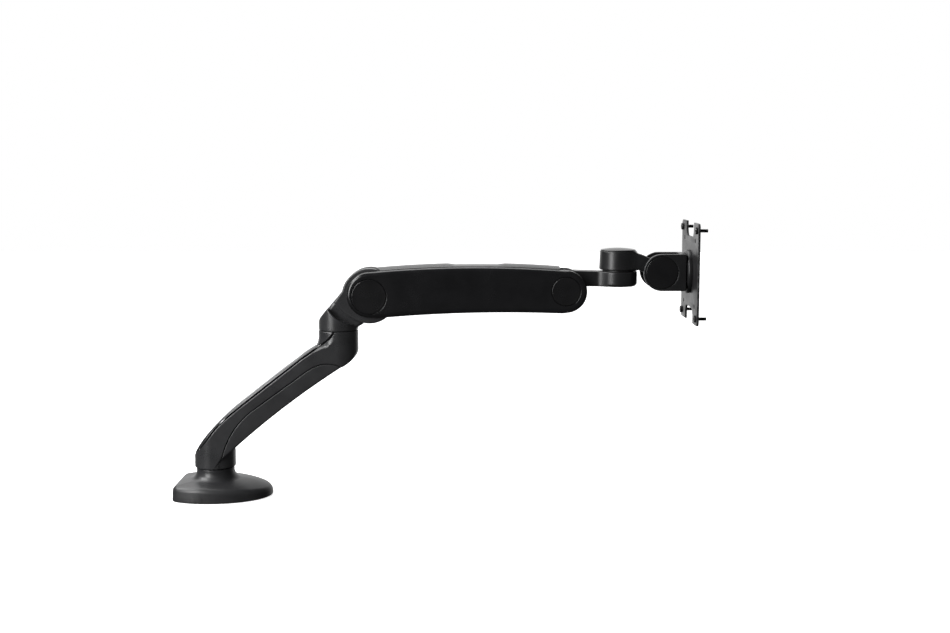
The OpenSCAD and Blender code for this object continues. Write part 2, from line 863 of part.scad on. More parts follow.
module plate_rivets() color(black) {
    for (a = [45:90:315]) rotate_about_roll(a) translate([plate_x - 0.04, 19, 0]) rotate([0, 90, 0]) {
        cylinder(r = 1.65, h = plate_t + 0.1);
        translate([0, 0, plate_t + 0.05]) cylinder(r = 3.2, h = 1.1);
    }
}

module rotate_about_roll(a) {
    translate([0, 0, roll_z]) rotate([a, 0, 0]) children();
}

// Monitor screws with their shanks standing out of the plate's front face.
module monitor_screws() color(black) {
    for (y = [-1, 1], z = [-1, 1])
        translate([plate_x - 0.05, y * hole_pitch / 2, roll_z + z * hole_pitch / 2]) rotate([0, -90, 0]) {
            translate([0, 0, -12]) cylinder(r = 2, h = 12);
            translate([0, 0, -plate_t - 0.2]) cylinder(r = 2.3, h = plate_t + 0.4);
            difference() {
                cylinder(r = 4, h = 2.4);
                translate([0, 0, 1]) cylinder(r = 1.5, h = 3, $fn = 6);
            }
        }
}

base_pad();
base_plate();
base_cover();
base_post();
base_screws();
base_cover_screws();
base_swivel_washer();
post_retainer_washer();
post_retainer_screw();
lower_arm_casting();
lower_arm_top_trim();
lower_arm_cable_cover();
base_bush();
elbow_bush();
socket_plug();
elbow_washer();
elbow_casting();
elbow_retainer_washer();
elbow_retainer_screw();
rear_pivot_pins();
rear_link_pin();
tension_screw();
tension_nut();
spring_arm_shell();
spring_arm_top_cover();
spring_arm_bottom_cover();
rear_pivot_caps();
front_pivot_caps();
rear_pivot_bushes();
front_pivot_bushes();
gas_spring_cylinder();
gas_spring_anchor_pin();
gas_spring_rod();
levelling_link();
knuckle_casting();
front_pivot_pins();
front_link_pin();
head_pivot_pin();
knuckle_plug();
head_washer();
head_retainer();
swivel_head();
head_bush();
head_cap();
tilt_washers();
tilt_bracket();
tilt_bolt();
tilt_nut();
tilt_caps();
roll_bolt();
roll_washer();
roll_disc();
monitor_plate();
plate_rivets();
monitor_screws();
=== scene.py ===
"""Looks of a desk monitor arm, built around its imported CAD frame."""

import json
import math

import bmesh
import bpy
import numpy as np
import openvdb as vdb
from mathutils import Matrix, Vector


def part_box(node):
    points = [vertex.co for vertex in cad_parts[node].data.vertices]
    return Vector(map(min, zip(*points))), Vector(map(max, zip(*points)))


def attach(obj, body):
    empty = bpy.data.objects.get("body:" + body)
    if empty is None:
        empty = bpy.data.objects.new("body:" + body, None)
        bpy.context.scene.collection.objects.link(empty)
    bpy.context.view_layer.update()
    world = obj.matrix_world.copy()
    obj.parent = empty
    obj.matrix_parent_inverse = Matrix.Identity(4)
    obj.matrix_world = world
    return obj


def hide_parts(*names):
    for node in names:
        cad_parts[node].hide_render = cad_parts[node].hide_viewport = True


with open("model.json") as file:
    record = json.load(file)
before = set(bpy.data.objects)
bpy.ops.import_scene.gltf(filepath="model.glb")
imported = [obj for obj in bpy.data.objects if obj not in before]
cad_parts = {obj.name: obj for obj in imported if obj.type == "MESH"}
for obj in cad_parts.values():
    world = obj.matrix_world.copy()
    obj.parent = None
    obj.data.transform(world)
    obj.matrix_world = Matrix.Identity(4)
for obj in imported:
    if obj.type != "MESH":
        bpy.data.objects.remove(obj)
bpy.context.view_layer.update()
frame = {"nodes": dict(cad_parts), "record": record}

MM = 0.001
FINE = 0.5       # sample spacing of small castings, mm
MEDIUM = 0.6     # of the spring arm's shell
COARSE = 0.7     # of the base and the lower arm
FACES_KEPT = 0.4     # share of a casting's faces that its finished mesh keeps

# ---------------------------------------------------------------- frame facts

joints = {j["name"]: j for j in frame["record"]["behaviour"]["joints"]}


def pivot(name):
    """A joint's centre in millimetres."""
    return Vector(joints[name]["pos_m"]) / MM


def node_box(name):
    """A CAD node's lowest and highest corners in millimetres."""
    low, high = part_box(name)
    return Vector(low) / MM, Vector(high) / MM


rear = pivot("lift")
front = pivot("knuckle_level")
tilt = pivot("head_tilt")
elbow_x = pivot("elbow_swivel").x
head_x = pivot("head_swivel").x

# ------------------------------------------------------------ distance fields
# Castings are signed distances sampled on a grid: negative inside, in mm.


class Grid:
    """Sample positions on a regular grid between two corners, shaped so that they broadcast."""

    def __init__(self, low, high, step):
        self.low, self.step = np.array(low, float), step
        count = [int(math.ceil((h - l) / step)) + 1 for l, h in zip(low, high)]
        axes = [l + step * np.arange(n, dtype=np.float32) for l, n in zip(low, count)]
        self.x = axes[0][:, None, None]
        self.y = axes[1][None, :, None]
        self.z = axes[2][None, None, :]
        self.shape = tuple(count)

    def side(self, outline):
        """Distance to an outline drawn in X and Z."""
        return outline_distance(outline, self.x, self.z)

    def plan(self, outline):
        """Distance to an outline drawn in X and Y."""
        return outline_distance(outline, self.x, self.y)

    def bar_y(self, centre, radius):
        """Distance to a cylinder along Y through centre (a vector)."""
        return np.hypot(self.x - centre.x, self.z - centre.z) - radius

    def post(self, x, radius):
        """Distance to a vertical cylinder on the arm's middle plane."""
        return np.hypot(self.x - x, self.y) - radius

    def within_y(self, half):
        """Distance to a slab on both sides of the arm's middle plane."""
        return np.abs(self.y) - half

    def within_z(self, low, high):
        """Distance to a level slab."""
        return np.abs(self.z - (low + high) / 2) - (high - low) / 2


def outline_distance(points, u, v):
    """Signed distance from (u, v) to a closed outline."""
    shape = np.broadcast(u, v).shape
    nearest = np.full(shape, 1e12, np.float32)
    inside = np.zeros(shape, bool)
    for (u0, v0), (u1, v1) in zip(points, points[1:] + points[:1]):
        eu, ev = u1 - u0, v1 - v0
        length = eu * eu + ev * ev
        if length < 1e-9:
            continue
        along = np.clip(((u - u0) * eu + (v - v0) * ev) / length, 0, 1)
        nearest = np.minimum(nearest, (u - u0 - eu * along) ** 2 + (v - v0 - ev * along) ** 2)
        if v0 != v1:
            inside ^= ((v0 > v) != (v1 > v)) & (u < eu * (v - v0) / ev + u0)
    return np.where(inside, -1, 1).astype(np.float32) * np.sqrt(nearest)


def meet(a, b, r=0.0):
    """What lies in both solids, with its edge rounded to radius r."""
    if np.isscalar(r) and r == 0:
        return np.maximum(a, b)
    corner = np.hypot(np.maximum(a + r, 0), np.maximum(b + r, 0))
    return np.minimum(-r, np.maximum(a, b)) + corner


def join(a, b, r=0.0):
    """Both solids, with a fillet of radius r where they meet."""
    return -meet(-a, -b, r)


def cut(a, b, r=0.0):
    """Solid a without solid b, with its edge rounded to radius r."""
    return meet(a, -b, r)


def smooth_step(t, size=1):
    """A smooth rise from 0 to size while t goes from 0 to 1."""
    return size * t * t * (3 - 2 * t)


def arc(centre, r, start, end, n):
    """Points of a circle's arc between two angles in degrees."""
    steps = [math.radians(start + (end - start) * i / n) for i in range(n + 1)]
    return [(centre[0] + r * math.cos(a), centre[1] + r * math.sin(a)) for a in steps]


def curve(a, b, c, n=12):
    """Points of a quadratic curve from a to c, pulled towards b."""
    out = []
    for i in range(n + 1):
        t = i / n
        point = ((1 - t) ** 2 * p + 2 * t * (1 - t) * q + t * t * r for p, q, r in zip(a, b, c))
        out.append(tuple(point))
    return out


# --------------------------------------------------------------- mesh helpers


def new_object(name, mesh):
    """An object in the scene that shows the mesh or curve."""
    obj = bpy.data.objects.new(name, mesh)
    bpy.context.scene.collection.objects.link(obj)
    return obj


def sample(field, places):
    """Field values at fractional grid places, by linear interpolation."""
    top = np.array(field.shape) - 2
    base = np.clip(np.floor(places).astype(int), 0, top)
    f = places - base
    total = 0
    for corner in range(8):
        pick = [(corner >> axis) & 1 for axis in range(3)]
        weight = np.prod([f[:, a] if pick[a] else 1 - f[:, a] for a in range(3)], axis=0)
        total = total + weight * field[base[:, 0] + pick[0], base[:, 1] + pick[1], base[:, 2] + pick[2]]
    return total


def surface_mesh(name, grid, field):
    """The field's zero surface as a mesh of small quads."""
    band = 3 * grid.step
    volume = vdb.FloatGrid(background=band)
    volume.copyFromArray(np.clip(field, -band, band))
    points, _, quads = volume.convertToPolygons(isovalue=0.0, adaptivity=0.0)
    mesh = bpy.data.meshes.new(name)
    mesh.from_pydata(((points * grid.step + grid.low) * MM).tolist(), [], quads.tolist())
    return mesh


def with_fewer_faces(name, mesh):
    """The mesh with its flat stretches thinned out."""
    full = new_object(name + "_full", mesh)
    modifier = full.modifiers.new("thin", "DECIMATE")
    modifier.ratio = FACES_KEPT
    evaluated = full.evaluated_get(bpy.context.evaluated_depsgraph_get())
    lighter = bpy.data.meshes.new_from_object(evaluated)
    bpy.data.objects.remove(full)
    bpy.data.meshes.remove(mesh)
    lighter.name = name
    return lighter


def field_slope(mesh, grid, field, reach=0.7):
    """The field's direction at each vertex, taken reach grid steps to both sides."""
    co = np.empty(len(mesh.vertices) * 3, np.float32)
    mesh.vertices.foreach_get("co", co)
    places = (co.reshape(-1, 3) / MM - grid.low) / grid.step
    rises = [
        sample(field, places + reach * axis) - sample(field, places - reach * axis)
        for axis in np.eye(3)]
    slope = np.stack(rises, axis=1)
    return slope / np.maximum(np.linalg.norm(slope, axis=1, keepdims=True), 1e-9)


def casting(name, grid, field):
    """A mesh object at the field's zero surface, shaded by the field's own slope."""
    field = np.ascontiguousarray(np.broadcast_to(field, grid.shape), dtype=np.float32)
    mesh = with_fewer_faces(name, surface_mesh(name, grid, field))
    slope = field_slope(mesh, grid, field)
    first = mesh.polygons[0]
    if first.normal.dot(Vector(slope[first.vertices[0]])) < 0:
        mesh.flip_normals()
    mesh.polygons.foreach_set("use_smooth", [True] * len(mesh.polygons))
    mesh.normals_split_custom_set_from_vertices(slope.tolist())
    mesh.update()
    return new_object(name, mesh)


def soften(obj, angle=35):
    """Smooth shading that keeps edges sharper than the angle."""
    obj.data.polygons.foreach_set("use_smooth", [True] * len(obj.data.polygons))
    obj.data.set_sharp_from_angle(angle=math.radians(angle))
    return obj


def round_corners(profile, radius, steps=4, share=0.45):
    """Cuts each inner corner of an open profile back to a small arc, at most a share of its sides."""
    out = [profile[0]]
    for before, here, after in zip(profile, profile[1:], profile[2:]):
        p, c, q = (Vector(v[:2]) for v in (before, here, after))
        back, on = p - c, q - c
        reach = min(radius, back.length * share, on.length * share)
        start, end = c + back.normalized() * reach, c + on.normalized() * reach
        out += [tuple(v) for v in curve(start, c, end, n=steps)]
    return out + [profile[-1]]


def lathe(name, profile, place, turns, hexagon=None):
    """A closed body of revolution about local Z, moved by the matrix place.

    profile runs from the axis (r = 0) round the outside back to the axis.
    hexagon is the radius below which rings are six-sided, for a key socket.
    """
    bm = bmesh.new()
    rings = []
    for r, z in profile:
        if r < 1e-6:
            rings.append([bm.verts.new((0, 0, z * MM))])
            continue
        ring = []
        for i in range(turns):
            a = 2 * math.pi * i / turns
            q = r
            if hexagon and r <= hexagon:
                q = r * math.cos(math.pi / 6) / math.cos((a % (math.pi / 3)) - math.pi / 6)
            ring.append(bm.verts.new((q * math.cos(a) * MM, q * math.sin(a) * MM, z * MM)))
        rings.append(ring)
    for low, high in zip(rings, rings[1:]):
        for i in range(turns):
            j = (i + 1) % turns
            if len(low) == 1:
                bm.faces.new((low[0], high[j], high[i]))
            elif len(high) == 1:
                bm.faces.new((low[i], low[j], high[0]))
            else:
                bm.faces.new((low[i], low[j], high[j], high[i]))
    bmesh.ops.transform(bm, matrix=place, verts=bm.verts)
    bmesh.ops.recalc_face_normals(bm, faces=bm.faces)
    mesh = bpy.data.meshes.new(name)
    bm.to_mesh(mesh)
    bm.free()
    return soften(new_object(name, mesh))


def facing(direction, point):
    """Matrix that turns local +Z to a direction and moves the origin to a point in mm."""
    turn = Vector((0, 0, 1)).rotation_difference(Vector(direction)).to_matrix().to_4x4()
    return Matrix.Translation(Vector(point) * MM) @ turn


def merge(name, parts):
    """One object from several."""
    bm = bmesh.new()
    for part in parts:
        bm.from_mesh(part.data)
        bpy.data.objects.remove(part)
    mesh = bpy.data.meshes.new(name)
    bm.to_mesh(mesh)
    bm.free()
    return soften(new_object(name, mesh))


def sheet_plate(name, loops, thickness, bevel, place):
    """A flat plate from closed loops (the first is the outline, the rest are holes), in mm."""
    data = bpy.data.curves.new(name, "CURVE")
    data.dimensions = "2D"
    data.fill_mode = "BOTH"
    data.extrude = (thickness / 2 - bevel) * MM
    data.bevel_depth = bevel * MM
    data.bevel_resolution = 2
    data.offset = -bevel * MM
    for loop in loops:
        spline = data.splines.new("POLY")
        spline.points.add(len(loop) - 1)
        for point, (u, v) in zip(spline.points, loop):
            point.co = (u * MM, v * MM, 0, 1)
        spline.use_cyclic_u = True
    flat = new_object(name + "_curve", data)
    mesh = bpy.data.meshes.new_from_object(flat.evaluated_get(bpy.context.evaluated_depsgraph_get()))
    bpy.data.objects.remove(flat)
    mesh.name = name
    bm = bmesh.new()
    bm.from_mesh(mesh)
    bmesh.ops.remove_doubles(bm, verts=bm.verts, dist=1e-6)
    bmesh.ops.transform(bm, matrix=place, verts=bm.verts)
    bmesh.ops.recalc_face_normals(bm, faces=bm.faces)
    bm.to_mesh(mesh)
    bm.free()
    return soften(new_object(name, mesh))


# ------------------------------------------------------------------ materials


def mix_colour(tree, factor, low, high):
    """A colour between low and high, by the factor."""
    mix = tree.nodes.new("ShaderNodeMix")
    mix.data_type = "RGBA"
    mix.inputs["A"].default_value = (*low, 1)
    mix.inputs["B"].default_value = (*high, 1)
    tree.links.new(factor, mix.inputs["Factor"])
    return mix.outputs["Result"]


def noise(tree, scale, detail):
    """Soft noise fixed to the piece, with scale features in a metre."""
    place = tree.nodes.new("ShaderNodeTexCoord")
    texture = tree.nodes.new("ShaderNodeTexNoise")
    texture.inputs["Scale"].default_value = scale
    texture.inputs["Detail"].default_value = detail
    texture.inputs["Roughness"].default_value = 0.55
    tree.links.new(place.outputs["Object"], texture.inputs["Vector"])
    return texture.outputs["Fac"]


def ramp(tree, value, low, high, out_low=0.0, out_high=1.0):
    """The value stretched from low..high to out_low..out_high, and held there."""
    scale = tree.nodes.new("ShaderNodeMapRange")
    scale.inputs["From Min"].default_value = low
    scale.inputs["From Max"].default_value = high
    scale.inputs["To Min"].default_value = out_low
    scale.inputs["To Max"].default_value = out_high
    tree.links.new(value, scale.inputs["Value"])
    return scale.outputs["Result"]


def math_node(tree, operation, a, b):
    """The result of a sum on two sockets or numbers."""
    node = tree.nodes.new("ShaderNodeMath")
    node.operation = operation
    for socket, value in zip(node.inputs, (a, b)):
        if isinstance(value, (int, float)):
            socket.default_value = value
        else:
            tree.links.new(value, socket)
    return node.outputs[0]


SMUDGE, SPECK = 0.05, 0.03     # how far smudges and fine grain change the roughness
GRAIN_DEPTH = 0.0002           # metres


def rub_edges(tree, colour, wear, worn):
    """The colour, rubbed to a worn one in patches along the outer edges."""
    geometry = tree.nodes.new("ShaderNodeNewGeometry")
    edge = ramp(tree, geometry.outputs["Pointiness"], 0.53, 0.60, 0.0, wear)
    patch = ramp(tree, noise(tree, scale=180, detail=3), 0.45, 0.6)
    mix = tree.nodes.new("ShaderNodeMix")
    mix.data_type = "RGBA"
    mix.inputs["B"].default_value = (*worn, 1)
    tree.links.new(math_node(tree, "MULTIPLY", edge, patch), mix.inputs["Factor"])
    tree.links.new(colour, mix.inputs["A"])
    return mix.outputs["Result"]


def finish_material(name, dark, light, rough, grain, bump, metallic=0.0, wear=0.0, worn=(0.2, 0.2, 0.2)):
    """A surface with fine grain, soft blotches, roughness changes and rubbed edges."""
    material = bpy.data.materials.new(name)
    material.use_nodes = True
    tree = material.node_tree
    shader = tree.nodes["Principled BSDF"]
    shader.inputs["Metallic"].default_value = metallic
    shader.inputs["IOR"].default_value = 1.5
    blotch = noise(tree, scale=55, detail=4)
    fine = noise(tree, scale=grain, detail=2)
    colour = mix_colour(tree, ramp(tree, blotch, 0.35, 0.65), dark, light)
    if wear:
        colour = rub_edges(tree, colour, wear, worn)
    tree.links.new(colour, shader.inputs["Base Color"])
    smudge = ramp(tree, noise(tree, scale=24, detail=5), 0.3, 0.7, -SMUDGE, SMUDGE)
    speck = ramp(tree, fine, 0.3, 0.7, rough - SPECK, rough + SPECK)
    tree.links.new(math_node(tree, "ADD", smudge, speck), shader.inputs["Roughness"])
    height = tree.nodes.new("ShaderNodeBump")
    height.inputs["Strength"].default_value = bump
    height.inputs["Distance"].default_value = GRAIN_DEPTH
    tree.links.new(fine, height.inputs["Height"])
    tree.links.new(height.outputs["Normal"], shader.inputs["Normal"])
    return material


def brushed_metal(name, dark, light, rough):
    """Turned or rolled steel with fine streaks."""
    material = bpy.data.materials.new(name)
    material.use_nodes = True
    tree = material.node_tree
    shader = tree.nodes["Principled BSDF"]
    shader.inputs["Metallic"].default_value = 1.0
    place = tree.nodes.new("ShaderNodeTexCoord")
    stretch = tree.nodes.new("ShaderNodeMapping")
    stretch.inputs["Scale"].default_value = (60, 900, 900)
    streaks = tree.nodes.new("ShaderNodeTexNoise")
    streaks.inputs["Scale"].default_value = 1.5
    tree.links.new(place.outputs["Object"], stretch.inputs["Vector"])
    tree.links.new(stretch.outputs["Vector"], streaks.inputs["Vector"])
    streak = streaks.outputs["Fac"]
    tree.links.new(mix_colour(tree, streak, dark, light), shader.inputs["Base Color"])
    roughness = ramp(tree, streak, 0.3, 0.7, rough - 0.06, rough + 0.08)
    tree.links.new(roughness, shader.inputs["Roughness"])
    return material


PAINTS = {
    "satin_casting": dict(
        dark=(0.026, 0.0263, 0.0275), light=(0.033, 0.0334, 0.035), rough=0.31, grain=1500, bump=0.25,
        wear=0.4, worn=(0.09, 0.09, 0.09)),
    # The casting paint again, at less than half its brightness.
    "head_casting": dict(
        dark=(0.011, 0.0112, 0.0118), light=(0.015, 0.0152, 0.016), rough=0.33, grain=1500, bump=0.2,
        wear=0.4, worn=(0.08, 0.08, 0.08)),
    "cover_plastic": dict(
        dark=(0.020, 0.0203, 0.0213), light=(0.026, 0.0263, 0.0277), rough=0.37, grain=1700, bump=0.3,
        wear=0.25, worn=(0.08, 0.08, 0.08)),
    "arm_shell": dict(
        dark=(0.0065, 0.0066, 0.0072), light=(0.009, 0.0091, 0.0099), rough=0.22, grain=1500, bump=0.12,
        wear=0.4, worn=(0.08, 0.08, 0.08)),
    "arm_lid": dict(
        dark=(0.016, 0.016, 0.017), light=(0.022, 0.022, 0.023), rough=0.3, grain=2200, bump=0.2),
    "arm_cap": dict(
        dark=(0.0065, 0.0065, 0.007), light=(0.009, 0.009, 0.0096), rough=0.22, grain=2200, bump=0.12,
        wear=0.3),
    "black_trim": dict(
        dark=(0.022, 0.0222, 0.0235), light=(0.029, 0.0292, 0.031), rough=0.28, grain=2200, bump=0.25),
    "plate_paint": dict(
        dark=(0.012, 0.012, 0.0125), light=(0.018, 0.018, 0.019), rough=0.35, grain=1100, bump=0.4,
        wear=0.4, worn=(0.2, 0.2, 0.21)),
    "black_screw": dict(
        dark=(0.02, 0.02, 0.021), light=(0.035, 0.035, 0.036), rough=0.35, grain=900, bump=0.2,
        metallic=0.8, wear=0.4),
    "spring_paint": dict(
        dark=(0.012, 0.012, 0.013), light=(0.02, 0.02, 0.02), rough=0.25, grain=1200, bump=0.1),
    "nylon": dict(
        dark=(0.62, 0.6, 0.55), light=(0.7, 0.68, 0.63), rough=0.5, grain=900, bump=0.2),
    "washer_black": dict(
        dark=(0.008, 0.008, 0.008), light=(0.012, 0.012, 0.012), rough=0.5, grain=900, bump=0.2),
    "rubber_pad": dict(
        dark=(0.012, 0.012, 0.012), light=(0.02, 0.02, 0.02), rough=0.75, grain=1300, bump=0.6),
}
STEELS = {
    "zinc_steel": dict(dark=(0.50, 0.51, 0.53), light=(0.66, 0.67, 0.69), rough=0.3),
    "polished_rod": dict(dark=(0.7, 0.71, 0.73), light=(0.78, 0.79, 0.8), rough=0.12),
}
MATERIALS = {name: finish_material(name, **look) for name, look in PAINTS.items()}
MATERIALS.update({name: brushed_metal(name, **look) for name, look in STEELS.items()})

slot_of = {s["node"]: s["material_slot"] for s in frame["record"]["subparts"]}
bodies = frame["record"]["behaviour"]["bodies"]
body_of = {node: body for body, nodes in bodies.items() for node in nodes}


def paint(obj, slot):
    """Gives an object the material of a slot."""
    obj.data.materials.clear()
    obj.data.materials.append(MATERIALS[slot])


def place_piece(obj, node):
    """Gives a piece its material and its body, and hides the CAD node that it stands for."""
    slot = slot_of[node]
    paint(obj, slot)
    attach(obj, body_of[node])
    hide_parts(node)


# ----------------------------------------------------------------------- base

BASE_TIP, BASE_HALF = 67.5, 47.7
BASE_CORNER, CORNER_TURN = 12.0, 125.5
CORNER_SKIP = 8                # degrees between the ellipse's end and the corner's first point
RIM_BACK, RIM_TIP, RIM_POWER = 17.0, 9.5, 1.1
RIM_FALL_X = -10               # the rim starts to fall towards the tip here
DOME_TOP, DOME_POWER, DOME_SLOPE, DOME_EDGE_R = 22.8, 2.4, 0.94, 4.0
DRAFT, DRAFT_LEVEL = 0.06, 4   # the side leans in by this much a millimetre above the level
NECK_R, NECK_TOP, NECK_BORE, NECK_EDGE_R, NECK_FILLET = 22.2, 34.2, 19.1, 0.8, 8.5
BASE_WALL, BASE_LIFT = 2.6, 0.3
TUCK_BACK, TUCK_MORE = 0.8, 1.2     # rounding of the bottom edge, at the back and added at the tip


def base_outline():
    """An ellipse with a flat back and two round back corners."""
    turn = math.radians(CORNER_TURN)
    normal = math.degrees(math.atan2(math.sin(turn) / BASE_HALF, math.cos(turn) / BASE_TIP))
    n = math.radians(normal)
    cy = BASE_HALF * math.sin(turn) - BASE_CORNER * math.sin(n)
    cx = BASE_TIP * math.cos(turn) - BASE_CORNER * math.cos(n)
    first = normal + CORNER_SKIP
    front_run = [
        (BASE_TIP * math.cos(t), BASE_HALF * math.sin(t)) for t in np.linspace(-turn, turn, 72)]
    left_corner = arc((cx, cy), BASE_CORNER, first, 180, n=8)
    right_corner = arc((cx, -cy), BASE_CORNER, 180, 360 - first, n=8)
    return front_run + left_corner + right_corner


def make_base_cover():
    """A domed cover, hollow below, that rises into the post's neck."""
    grid = Grid((-49, -51, -1), (71, 51, 37), COARSE)
    edge = grid.plan(base_outline())
    radius = np.hypot(grid.x, grid.y)
    outward = np.clip(radius / np.maximum(radius - np.minimum(edge, 0), 1e-3), 0, 1)
    to_tip = np.clip((grid.x - RIM_FALL_X) / (BASE_TIP - RIM_FALL_X), 0, 1)
    rim = RIM_BACK - (RIM_BACK - RIM_TIP) * to_tip ** RIM_POWER
    top = rim + (DOME_TOP - rim) * (1 - outward ** DOME_POWER)
    side = edge + DRAFT * (grid.z - DRAFT_LEVEL)
    roof = (grid.z - top) * DOME_SLOPE
    neck = meet(radius - NECK_R, grid.z - NECK_TOP, r=NECK_EDGE_R)
    skin = join(meet(side, roof, r=DOME_EDGE_R), neck, r=NECK_FILLET)
    shell = cut(skin, meet(side + BASE_WALL, roof + BASE_WALL, r=3.0))
    shell = cut(shell, radius - NECK_BORE)
    shell = meet(shell, BASE_LIFT - grid.z, r=TUCK_BACK + TUCK_MORE * to_tip)
    place_piece(casting("base_cover_skin", grid, shell), "base_cover")


# ------------------------------------------------------------------ lower arm

COLLAR_R, SOCKET_R = 24.1, 23.3
COLLAR_LOW, COLLAR_TOP, SOCKET_TOP = 35.0, 55.5, 197.6
COLLAR_BORE, COLLAR_BORE_TOP = 13.25, 56
SOCKET_BORE, SOCKET_FLOOR, SOCKET_RELIEF = 14.2, 168, 17
BACK = (curve((-24.6, 48), (-6.7, 81.7), (27.8, 108.7))
        + curve((106.5, 170.3), (115.5, 177), (124.4, 181.5), n=6))
SEAM = (curve((-25.5, 48), (-11, 61), (1.3, 79.2))
        + curve((6, 85), (13, 93), (34.7, 110.1), n=6)
        + curve((105.6, 165.6), (125, 178.5), (134.9, 186), n=8)
        + curve((138, 188.8), (143.5, 194), (145.6, 199.5), n=4))
CREASE = ([(1.5, 34), (9.5, 45.6)]
          + curve((12.5, 51.4), (21, 83.1), (46.4, 103.7))
          + curve((111.3, 151), (133.1, 166.8), (154, 156.2)))
UNDERSIDE = curve((154, 156.4), (90.8, 115.9), (34.9, 66.7)) + [(9.5, 44.2), (9.5, 30)]
SOCKET_END = [(172.5, 240), (172.5, 174.5)] + curve((171.5, 172.6), (166, 162.5), (154, 156.4), n=6)
SEAM_GAP = 0.8                 # half the seam's width, where it is widest
SEAM_FADE_Z, SEAM_FADE_RUN, SEAM_LEAST = 52, 34, 0.12     # it narrows to this share at the collar
SEAM_LIP_X, SEAM_LIP_R = (108, 122), (0.8, 0.25)          # its lip is rounded less at the socket
TRIM_DEPTH, TRIM_BED = 2.6, 0.3
COVER_INSET, COVER_GAP, COVER_WALL, COVER_ROOM_HALF = 0.6, 0.4, 2.2, 19
BACK_CHAMFER = 1.9
CHAMFER_START, CHAMFER_RUN = 1.8, 30     # it starts to grow 1.8 runs up
TONGUE_HALF, TONGUE_DEEP = 17.5, 3.0
NEAR_START, NEAR_RUN = 1.6, 45           # the socket's pull ends 1.6 runs from its middle


def arm_back_x(grid):
    """X as the arm's back sees it: near the socket it follows the socket's round wall."""
    from_socket = elbow_x - grid.x
    near = np.clip(NEAR_START - from_socket / NEAR_RUN, 0, 1)
    near = smooth_step(near) * (from_socket > 0)
    recess = np.hypot(from_socket, grid.y) - np.abs(from_socket)
    return grid.x - recess * near, near


def arm_body(grid):
    """The arm as one solid, before its trim and its cable cover are parted off."""
    along = np.clip(grid.x / elbow_x, 0, 1)
    plan = np.hypot(grid.x - elbow_x * along, grid.y) - (COLLAR_R + (SOCKET_R - COLLAR_R) * along)
    back_x, near = arm_back_x(grid)
    wall = elbow_x - SOCKET_R
    up_the_wall = curve((wall - 4.5, 178.7), (wall - 0.3, 181.6), (wall, 191), n=6)
    outline = [(-25, 46)] + BACK + up_the_wall + [(wall, 240), (190, 240), (190, 0), (-25, 0)]
    back = outline_distance(outline, back_x, grid.z)
    side = grid.side([(-60, 30), (-60, 240)] + SOCKET_END + UNDERSIDE)
    collar = meet(grid.post(0, COLLAR_R), grid.within_z(COLLAR_LOW, COLLAR_TOP), r=1.0)
    body = np.minimum(meet(plan, side, r=2.2), collar)
    grown = np.clip(grid.z / CHAMFER_RUN - CHAMFER_START, 0, 1)
    chamfer = (plan + back) * math.sqrt(0.5) + BACK_CHAMFER * grown * (1 - near) - near
    body = meet(meet(body, back, r=0.3), chamfer, r=0.3)
    return meet(meet(body, grid.z - SOCKET_TOP, r=0.9), COLLAR_LOW - grid.z, r=0.8), collar


def make_trim(grid, whole, above_seam, fade):
    """The strip along the arm's back, above the seam."""
    trim = meet(whole, above_seam + SEAM_GAP * fade, r=0.3 * fade)
    trim = cut(trim, whole + TRIM_DEPTH)
    place_piece(casting("lower_arm_trim_skin", grid, trim), "lower_arm_top_trim")


def make_arm_casting(grid, whole, collar, above_seam, below_crease, fade):
    """The body between the seam and the crease, with its bores and the cover's bed."""
    rebate = np.maximum(above_seam - SEAM_GAP * fade, -(whole + TRIM_DEPTH + TRIM_BED))
    body = cut(whole, rebate, r=fade * np.interp(grid.x, SEAM_LIP_X, SEAM_LIP_R))
    outside = np.maximum(below_crease - 0.2, TONGUE_HALF - np.abs(grid.y))
    hollow = np.maximum(np.minimum(outside, below_crease + TONGUE_DEEP), -collar)
    body = cut(body, hollow, r=0.5)
    body = cut(body, np.maximum(grid.post(0, COLLAR_BORE), grid.z - COLLAR_BORE_TOP))
    bore = np.maximum(grid.post(elbow_x, SOCKET_BORE), SOCKET_FLOOR - grid.z)
    body = cut(body, bore, r=0.4)
    relief = np.maximum(grid.post(elbow_x, SOCKET_RELIEF), grid.z - (SOCKET_FLOOR + 0.2))
    body = cut(body, relief, r=0.4)
    place_piece(casting("lower_arm_casting_skin", grid, body), "lower_arm_casting")


def make_cable_cover(grid, whole, below_crease):
    """The clip-on cover along the underside, hollow for cables."""
    cover = meet(whole + COVER_INSET, below_crease + COVER_GAP, r=0.1)
    collar_room = np.maximum(grid.post(0, COLLAR_R + 0.2), grid.z - COLLAR_TOP - 0.3)
    cover = cut(cover, collar_room, r=0.3)
    cable_room = np.maximum(whole + COVER_INSET + COVER_WALL, grid.within_y(COVER_ROOM_HALF))
    cover = cut(cover, cable_room)
    place_piece(casting("cable_cover_skin", grid, cover), "lower_arm_cable_cover")


def make_lower_arm():
    """Casting, trim and cable cover, parted from one shape along the seam and the crease."""
    grid = Grid((-27, -26, 33), (174, 26, 200), COARSE)
    whole, collar = arm_body(grid)
    above_seam = grid.side(SEAM + [(80, 240), (-60, 140), (-60, 48)])
    below_crease = grid.side(CREASE + [(170, 120), (60, 30), (12.5, 30)])
    fade = np.clip((grid.z - SEAM_FADE_Z) / SEAM_FADE_RUN, SEAM_LEAST, 1)
    make_trim(grid, whole, above_seam, fade)
    make_arm_casting(grid, whole, collar, above_seam, below_crease, fade)
    make_cable_cover(grid, whole, below_crease)


# ---------------------------------------------------------------------- elbow

